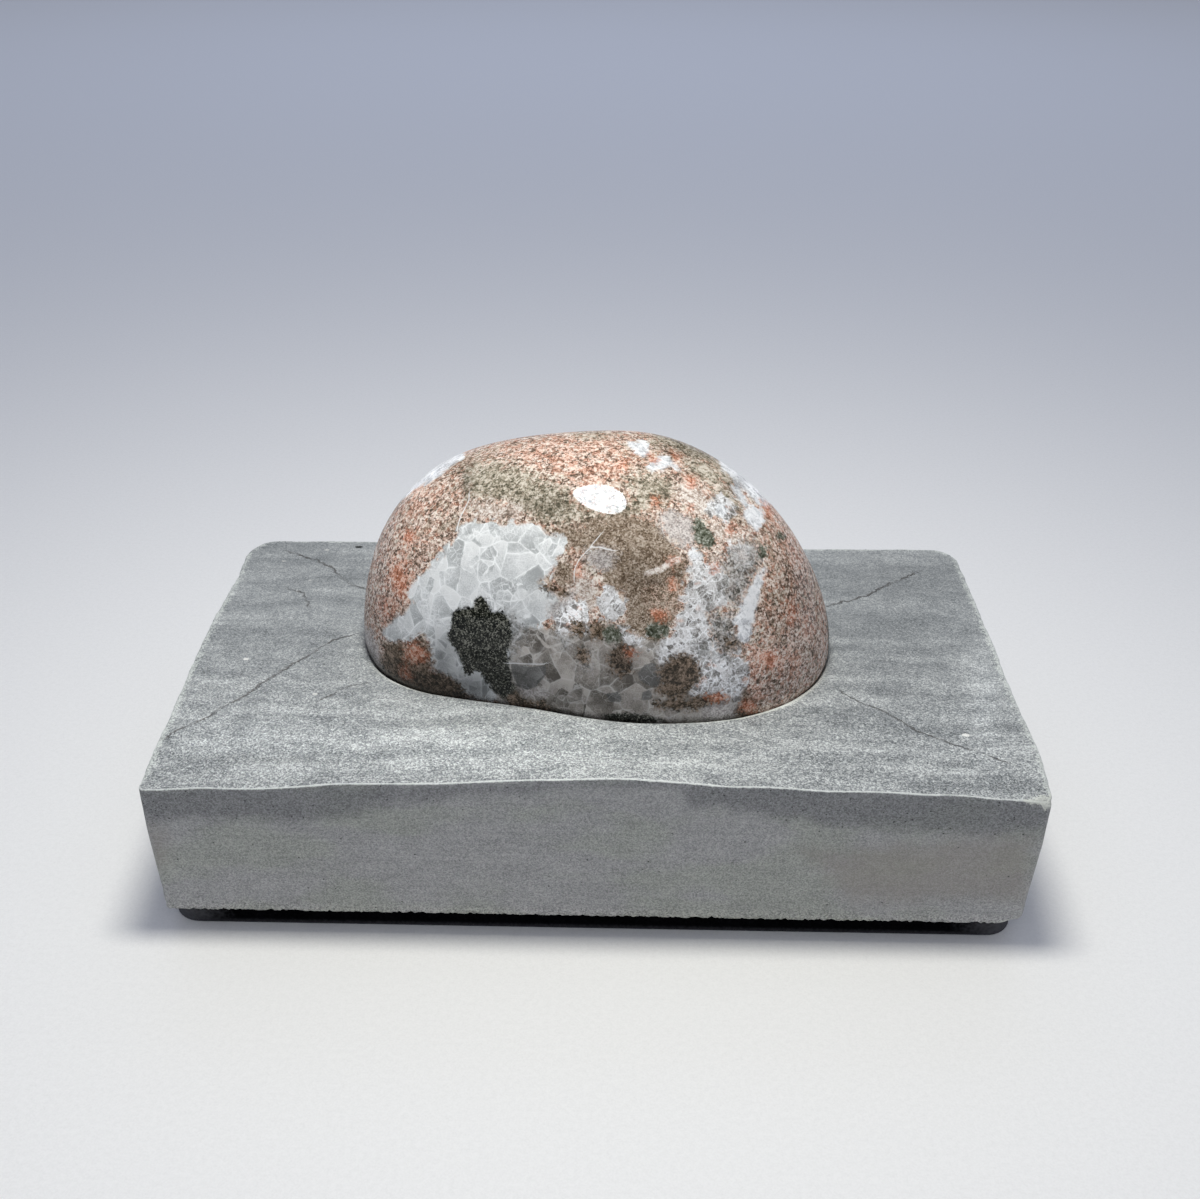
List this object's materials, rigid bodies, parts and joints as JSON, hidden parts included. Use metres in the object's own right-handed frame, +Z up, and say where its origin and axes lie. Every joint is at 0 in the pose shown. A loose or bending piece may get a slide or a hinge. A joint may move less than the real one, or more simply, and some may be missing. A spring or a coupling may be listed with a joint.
{
  "type": "puddingstone",
  "caption": "Polished puddingstone cobble resting in a fitted hollow of a grey slate slab that stands on a dark foam pad.",
  "frame": {"origin": "middle of the pad's underside, on the surface the object stands on", "axes": "+Z up, +X to the right along the slab's long side, +Y to the back, away from the slab's crowned front edge"},
  "size_m": [0.1812, 0.1026, 0.0844],
  "materials": {
    "puddingstone": "polished",
    "slate": "sanded top, sawn sides, broken lower edge",
    "foam": "matte"
  },
  "bodies": {
    "root": {"puddingstone": "puddingstone", "slate_slab": "slate", "foam_pad": "foam"}
  },
  "joints": []
}
